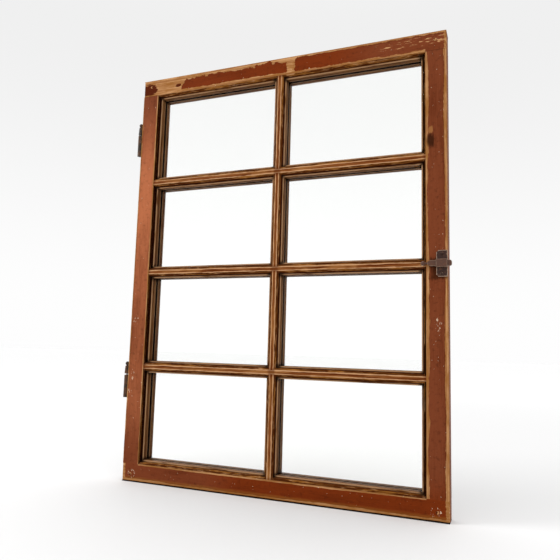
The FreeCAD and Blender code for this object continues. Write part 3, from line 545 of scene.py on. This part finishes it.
paint_node("left_stile", member_finish(
    "left_stile_paint", True, lambda finish: finish.x + HALF_WIDE_MM, STILE_FACE_MM,
    stile_joints, left_lit_paint, (1.4, 1.0), rubbed_arrises(1.2, 1.2),
    [scuffs((-400, 276, 5, 16), (-407, 232, 7, 7), (-398, 418, 9, 13))]))
paint_node("right_stile", member_finish(
    "right_stile_paint", True, lambda finish: HALF_WIDE_MM - finish.x, STILE_FACE_MM,
    stile_joints, dull_right, (3.0, 0.9), rubbed_arrises(5.4, 2.8, 4.5, 11),
    [knot, latch_grease_and_shadow, scuffs((394, 417, 8, 18))]))
paint_node("bottom_rail", member_finish(
    "bottom_rail_paint", False, lambda finish: finish.z, RAIL_FACE_MM,
    rail_joints, sound, (5.2, 0.95), rubbed_arrises(7.4, 2.0),
    [corner_chips, shaded_foot]))
paint_node("top_rail", member_finish(
    "top_rail_paint", False, lambda finish: HIGH_MM - finish.z, RAIL_FACE_MM,
    rail_joints, sound, (3.0, 0.6), flaked_top,
    [stained_corner, scratches]))


# The worn arrises: how a rail's or stile's rim is found, rounded, and dented by handling.
SAME_MM = 0.02
WELD = 0.000002
FLAT_ANGLE = math.radians(0.4)
ROUNDED = 0.0035
ROUNDED_STEPS = 3
LONG = 0.3
WEAR_CUTS = 90
WEAR_DEPTH = 0.0010
WEAR_SHARE = 0.35
BROAD_DENTS = 55
FINE_DENTS = 160
FINE_DENT_SHARE = 0.6
FACE_WEAR = 20


def rim_edges(piece, shortest):
    """Select a member's edges that lie along the sash's outer front and back rims."""
    rims = ((0, HALF_WIDE_MM), (2, HIGH_MM / 2))
    middle = (0, 0, HIGH_MM / 2)
    places = [vertex.co * MM for vertex in piece.data.vertices]
    for edge in piece.data.edges:
        ends = [places[index] for index in edge.vertices]
        along = ends[1] - ends[0]
        edge.select = along.length > shortest * MM and abs(along.y) < SAME_MM and any(
            all(abs(abs(end[axis] - middle[axis]) - half) < SAME_MM for end in ends)
            and all(abs(abs(end.y) - HALF_DEEP_MM) < SAME_MM for end in ends)
            and abs(along[axis]) < SAME_MM
            for axis, half in rims)


def in_rounding(place):
    """A place's distances in from the sash's rim and its front or back, where it is on the
    rounded arris."""
    gap = min(HALF_WIDE_MM - abs(place.x * MM), HIGH_MM / 2 - abs(place.z * MM - HIGH_MM / 2))
    deep = HALF_DEEP_MM - abs(place.y * MM)
    return (gap, deep) if gap + deep < ROUNDED * MM + SAME_MM else None


def worn_member(node):
    """A copy of a member with its outer arrises rounded, then unevenly worn by handling."""
    clear_selection()
    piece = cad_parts[node].copy()
    piece.data = piece.data.copy()
    piece.name = piece.data.name = f"worn_{node}"
    bpy.context.scene.collection.objects.link(piece)
    piece.select_set(True)
    bpy.context.view_layer.objects.active = piece
    bpy.ops.object.mode_set(mode="EDIT")
    bpy.ops.mesh.select_all(action="SELECT")
    bpy.ops.mesh.remove_doubles(threshold=WELD)
    bpy.ops.mesh.dissolve_limited(angle_limit=FLAT_ANGLE)
    bpy.ops.mesh.select_mode(type="EDGE")
    bpy.ops.mesh.select_all(action="DESELECT")
    bpy.ops.object.mode_set(mode="OBJECT")
    rim_edges(piece, LONG)
    bpy.ops.object.mode_set(mode="EDIT")
    bpy.ops.mesh.subdivide(number_cuts=WEAR_CUTS)
    bpy.ops.mesh.select_all(action="DESELECT")
    bpy.ops.object.mode_set(mode="OBJECT")
    rim_edges(piece, 0)
    bpy.ops.object.mode_set(mode="EDIT")
    bpy.ops.mesh.bevel(offset=ROUNDED, segments=ROUNDED_STEPS, affect="EDGES")
    bpy.ops.mesh.select_mode(type="VERT")
    bpy.ops.object.mode_set(mode="OBJECT")
    for vertex in piece.data.vertices:
        gap, deep = in_rounding(vertex.co) or (0, 0)
        if gap > SAME_MM and deep > SAME_MM:
            bite = (noise.noise(vertex.co * BROAD_DENTS)
                    + FINE_DENT_SHARE * noise.noise(vertex.co * FINE_DENTS))
            inward = Vector((-vertex.co.x, -vertex.co.y * FACE_WEAR,
                             HIGH_MM / (2 * MM) - vertex.co.z))
            inward.normalize()
            vertex.co += inward * WEAR_DEPTH * min(1.0, max(0.0, bite + WEAR_SHARE))
    return piece


for node in ("left_stile", "right_stile", "bottom_rail", "top_rail"):
    piece = worn_member(node)
    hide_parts(node)
    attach(piece, "sash")

# ---------------------------------------------------------------- corner pegs
# Four faceted hardwood pegs pin the corner joints. They stand a hair above the paint, which
# has come off their rims.
peg_finish = Finish("peg_wood")
peg_ridges = peg_finish.noise((2.2, 60, 2.2), 3.0, 0.6)
peg_wear = peg_finish.band(peg_finish.noise((5, 5, 5), 4.0, 0.6), 0.46, 0.56)
peg_wood = peg_finish.mix(peg_finish.band(peg_ridges, 0.35, 0.65), PINE_BROWN, PINE_PALE)
peg_colour = peg_finish.mix(peg_wear, peg_wood, DARK_PAINT)
paint_node("corner_pegs", peg_finish.shade(
    peg_colour, 0.5 + peg_ridges * 0.2, peg_ridges, 0.3, Specular_IOR_Level=WOOD_GLOSS))

# ---------------------------------------------------------------- glazing bars
# Three level bars and one upright bar, halved where they cross. Each has a narrow painted
# nose between rubbed arrises, and the same stained moulding as the stiles on both sides.
NOSE_DEPTH_MM = 0.3
NOSE_GOLD = (0.290, 0.120, 0.036, 1)
NOSE_RED = (0.185, 0.056, 0.014, 1)
NOSE_DARK = (0.085, 0.016, 0.003, 1)
# Bare arris tan, made brighter than the bare wood as a painted highlight.
ARRIS_TAN_AND_HIGHLIGHT = (0.580, 0.330, 0.165, 1)


def bar_finish(name, upright, centre):
    """The finish of one bar. centre is its middle, in millimetres."""
    finish = Finish(name)
    shift = (211.0 * len(name), 0, centre)
    depth = finish.y + HALF_DEEP_MM
    off = abs((finish.x if upright else finish.z) - centre)
    wood, ridges = pine(finish, upright, shift)
    moulded, gold = stained_moulding(finish, upright, depth, shift, 2.3, 1.0)
    streaks = finish.noise(along_grain(upright, 90, 2.4), 3.0, 0.6, shift)
    paler = finish.noise(along_grain(upright, 130, 60), 3.0, 0.6, shift)
    nose = finish.mix(finish.band(streaks, 0.36, 0.56), NOSE_DARK, NOSE_RED)
    nose = finish.mix(finish.band(paler * 0.6 + streaks * 0.4, 0.50, 0.58) * 0.85, nose, NOSE_GOLD)
    arris = abs(off - HALF_NOSE_MM) + (depth - NOSE_DEPTH_MM)
    ragged = finish.noise(along_grain(upright, 34, 3), 4.0, 0.6, shift)
    bare = finish.band(arris - (ragged * 5.0 - 1.1), 0.4, -0.3)
    colour = finish.mix(finish.band(off, HALF_NOSE_MM - 0.1, HALF_NOSE_MM + 0.3), nose, moulded)
    # Rubbed bare arrises, their tan brightened as a painted highlight.
    colour = finish.mix(bare * 0.9, colour, finish.mix(ridges * 0.5, ARRIS_TAN_AND_HIGHLIGHT, wood))
    crossing = off_lines(finish, "z" if upright else "x") + (ragged - 0.5) * 12
    colour = finish.mix(finish.band(crossing, 9, 1) * 0.6, colour, NOSE_DARK)
    back = finish.band(depth, 27, 28)
    colour = finish.mix(back, colour, finish.mix(finish.band(ragged, 0.45, 0.55), DARK_PAINT, wood))
    height = ridges * 0.35 + gold * 0.3 + streaks * 0.35
    return finish.shade(colour, 0.34 + ragged * 0.22 + bare * 0.08, height, 0.5,
                        Specular_IOR_Level=WOOD_GLOSS, Specular_Tint=WOOD_SHEEN)


for bar in LEVEL_BARS:
    paint_node(bar, bar_finish(f"{bar}_stain", False, middle_and_half(bar)[0].z))
paint_node("upright_bar", bar_finish(
    "upright_bar_stain", True, middle_and_half("upright_bar")[0].x))

# ---------------------------------------------------------------- mirror panes
# Eight panes of 4 mm mirror. Each is a clear slab with ground edges. Behind it lies the
# silver, covered with grey paint that is all that shows from the back.
SILVER_THICK = 0.0003
SILVER_GAP = 0.00003
EDGE_GRIND = 0.0004
GRIND_STEPS = 2
GLASS_TINT = (0.995, 1.0, 0.998, 1)
SILVER_WHITE = (0.985, 0.985, 0.98, 1)
BACKING_DARK = (0.13, 0.145, 0.15, 1)
BACKING_LIGHT = (0.19, 0.20, 0.205, 1)
BACKING_RUBBED = (0.26, 0.25, 0.235, 1)

clear_glass = Finish("clear_glass").principled({
    "Base Color": GLASS_TINT, "Roughness": 0.0, "IOR": 1.5, "Transmission Weight": 1.0})
silver = Finish("silver").principled({
    "Base Color": SILVER_WHITE, "Metallic": 1.0, "Roughness": 0.0})

backing = Finish("backing_paint")
rolled = backing.noise((7, 7, 90), 4.0, 0.6)
rubbed = backing.band(backing.noise((60, 60, 60), 5.0, 0.65), 0.60, 0.72)
backing_colour = backing.mix(rolled, BACKING_DARK, BACKING_LIGHT)
backing_colour = backing.mix(rubbed, backing_colour, BACKING_RUBBED)
backing.shade(backing_colour, 0.42 + rolled * 0.25, rolled, 0.15)


def slab(name, low, high, grind):
    """A flat slab with ground edges."""
    clear_selection()
    bpy.ops.mesh.primitive_cube_add(size=1, location=(low + high) / 2, scale=high - low)
    piece = bpy.context.object
    piece.name = piece.data.name = name
    bpy.ops.object.transform_apply(location=True, rotation=True, scale=True)
    bpy.ops.object.mode_set(mode="EDIT")
    bpy.ops.mesh.select_all(action="SELECT")
    bpy.ops.mesh.bevel(offset=grind, segments=GRIND_STEPS, affect="EDGES")
    bpy.ops.object.mode_set(mode="OBJECT")
    return piece


for row in ("bottom", "lower", "upper", "top"):
    for side in ("left", "right"):
        low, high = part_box(f"{row}_{side}_pane")
        silver_front = high.y - SILVER_THICK
        pane = slab(f"{row}_{side}_glass", low,
                    Vector((high.x, silver_front - SILVER_GAP, high.z)), EDGE_GRIND)
        pane.data.materials.append(clear_glass)
        coat = slab(f"{row}_{side}_silvering", Vector((low.x, silver_front, low.z)), high,
                    SILVER_THICK / 4)
        coat.data.materials.append(backing.material)
        coat.data.materials.append(silver)
        for face in coat.data.polygons:
            if face.normal.y < -0.9:
                face.material_index = 1
        for piece in (pane, coat):
            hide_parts(f"{row}_{side}_pane")
            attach(piece, "sash")

# ---------------------------------------------------------------- glazing beads and their pins
# Square softwood beads hold each pane from behind. They are newer than the sash, sawn and
# left bare, and small wire pins with rusty heads nail them down.
BEAD_DUST = (0.42, 0.30, 0.18, 1)
PIN_WIRE = (0.36, 0.33, 0.30, 1)
PIN_RUST = (0.17, 0.075, 0.035, 1)

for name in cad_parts:
    if name.endswith("_beads"):
        upright = "stile" in name or "upright" in name
        bead_finish = Finish(f"{name}_wood")
        shift = (31.0 * len(name), 0, 17.0 * len(name))
        bead_wood, bead_ridges = pine(bead_finish, upright, shift)
        sawn = bead_finish.noise(along_grain(upright, 1.2, 14), 2.0, 0.5)
        dusty = bead_finish.band(bead_finish.noise((40, 40, 40), 3.0, 0.6), 0.40, 0.70)
        bead_colour = bead_finish.mix(dusty * 0.5, bead_wood, BEAD_DUST)
        paint_node(name, bead_finish.shade(bead_colour, 0.62 + sawn * 0.16,
                                           bead_ridges * 0.5 + sawn * 0.5, 0.3))

pin_finish = Finish("pin_wire")
pin_rust = pin_finish.band(pin_finish.noise((1.5, 1.5, 1.5), 3.0, 0.6), 0.42, 0.62)
pin_colour = pin_finish.mix(pin_rust, PIN_WIRE, PIN_RUST)
paint_node("bead_pins", pin_finish.shade(
    pin_colour, 0.34 + pin_rust * 0.4, pin_rust, 0.1, Metallic=0.8))

# ---------------------------------------------------------------- hinges
# Two forged lift-off hinges. The jamb leaf carries a pin, and the sash leaf's short knuckle
# drops over it under a small ball. The iron is dull brown with old paint, rust and dirt.
IRON_OLIVE = (0.026, 0.017, 0.010, 1)
IRON_RUST = (0.085, 0.036, 0.016, 1)
IRON_RUBBED = (0.200, 0.150, 0.105, 1)
IRON_GLOSS = 0.22
PIN_STEEL = (0.42, 0.40, 0.37, 1)
PIN_GREASE = (0.06, 0.045, 0.03, 1)
SCREW_STEEL = (0.33, 0.31, 0.28, 1)
SCREW_TARNISH = (0.11, 0.06, 0.035, 1)


def iron_finish(name, dull, rust, rubbed, rust_share, polish=0.0):
    """Old iron: blotches of rust, pits, and rubbed spots that shine a little. A higher
    rust_share or polish makes more of it rusty or rubbed."""
    finish = Finish(name)
    blotches = finish.noise((11, 11, 16), 5.0, 0.65)
    pits = finish.noise((1.6, 1.6, 1.6), 4.0, 0.65)
    rusted = finish.band(blotches, 0.62 - rust_share * 0.3, 0.72 - rust_share * 0.3)
    handled = finish.noise((4, 4, 9), 4.0, 0.6, (50, 20, 10))
    worn = finish.band(handled, 0.60 - polish, 0.68 - polish)
    colour = finish.mix(rusted, dull, rust)
    colour = finish.mix(finish.band(pits, 0.50, 0.72) * 0.5, colour, DIRT_AND_SHADE)
    colour = finish.mix(worn * 0.7, colour, rubbed)
    height = (1 - finish.band(pits, 0.52, 0.70)) * 0.6 + blotches * 0.4
    return finish.shade(colour, 0.46 + rusted * 0.26 - worn * 0.14, height, 0.35,
                        Metallic=worn * 0.5, Specular_IOR_Level=IRON_GLOSS)


for name in ("lower_jamb_leaf", "upper_jamb_leaf", "lower_sash_leaf", "upper_sash_leaf",
             "hinge_finials"):
    paint_node(name, iron_finish(f"{name}_iron", IRON_OLIVE, IRON_RUST, IRON_RUBBED, 0.5))

for name in ("lower_hinge_pin", "upper_hinge_pin"):
    finish = Finish(f"{name}_steel")
    rings = finish.noise((9, 9, 0.5), 2.0, 0.5)
    grease = finish.band(finish.noise((4, 4, 7), 4.0, 0.6), 0.42, 0.62)
    colour = finish.mix(grease, PIN_STEEL, PIN_GREASE)
    paint_node(name, finish.shade(colour, 0.24 + grease * 0.3, rings, 0.06, Metallic=0.9))

screw_finish = Finish("hinge_screw_steel")
screw_tarnish = screw_finish.band(screw_finish.noise((3, 3, 3), 4.0, 0.6), 0.40, 0.62)
screw_colour = screw_finish.mix(screw_tarnish, SCREW_STEEL, SCREW_TARNISH)
paint_node("hinge_screws", screw_finish.shade(
    screw_colour, 0.34 + screw_tarnish * 0.3, screw_tarnish, 0.1, Metallic=0.8))

# ---------------------------------------------------------------- slide bolt
# A clipped iron plate is screwed to the right stile, and its strap holds a flat bolt that is
# pushed by a ball knob and stopped by a pin. All of it was painted brown with the sash, and
# the paint is rubbed through along its edges, the plate's most of all.
LATCH_BLACK = (0.032, 0.012, 0.007, 1)
LATCH_BROWN = (0.078, 0.034, 0.021, 1)
LATCH_RUST = (0.100, 0.038, 0.018, 1)
LATCH_RUBBED = (0.370, 0.260, 0.185, 1)


def latch_finish(name, off_edge, dull, bright):
    """Painted iron. off_edge is a function that gives the distance from its edges, and bright
    is how far the paint is rubbed away along them."""
    finish = Finish(name)
    ragged = finish.noise((6, 6, 6), 5.0, 0.65)
    pits = finish.noise((1.4, 1.4, 1.4), 4.0, 0.6)
    rubbed = finish.band(off_edge(finish) - (ragged * 4.2 - 0.9), 0.35, -0.35)
    rusted = finish.band(ragged, 0.55, 0.66)
    colour = finish.mix(rusted, dull, LATCH_RUST)
    colour = finish.mix(finish.band(pits, 0.55, 0.75) * 0.5, colour, DIRT_AND_SHADE)
    colour = finish.mix(rubbed * bright, colour, LATCH_RUBBED)
    height = (1 - rubbed) * 0.5 + pits * 0.5
    return finish.shade(colour, 0.44 + rusted * 0.2 - rubbed * 0.1, height, 0.25,
                        Metallic=rubbed * 0.3, Specular_IOR_Level=IRON_GLOSS)


def box_edges(node):
    """The distance from the edges of a node's front, as a function of its finish."""
    middle, half = middle_and_half(node)

    def distance(finish):
        return (half.x - abs(finish.x - middle.x)).least(half.z - abs(finish.z - middle.z))
    return distance


for name, dull, bright in (("latch_plate", LATCH_BLACK, 0.85), ("bolt_strap", LATCH_BROWN, 0.3),
                           ("slide_bolt", LATCH_BROWN, 0.3), ("bolt_knob", LATCH_BROWN, 0.6)):
    paint_node(name, latch_finish(f"{name}_paint", box_edges(name), dull, bright))
paint_node("bolt_stop_pin", iron_finish("stop_pin_iron", IRON_OLIVE, IRON_RUST, IRON_RUBBED, 0.3))
paint_node("latch_screws", iron_finish(
    "latch_screw_paint", LATCH_BLACK, LATCH_RUST, LATCH_RUBBED, 0.4, 0.04))
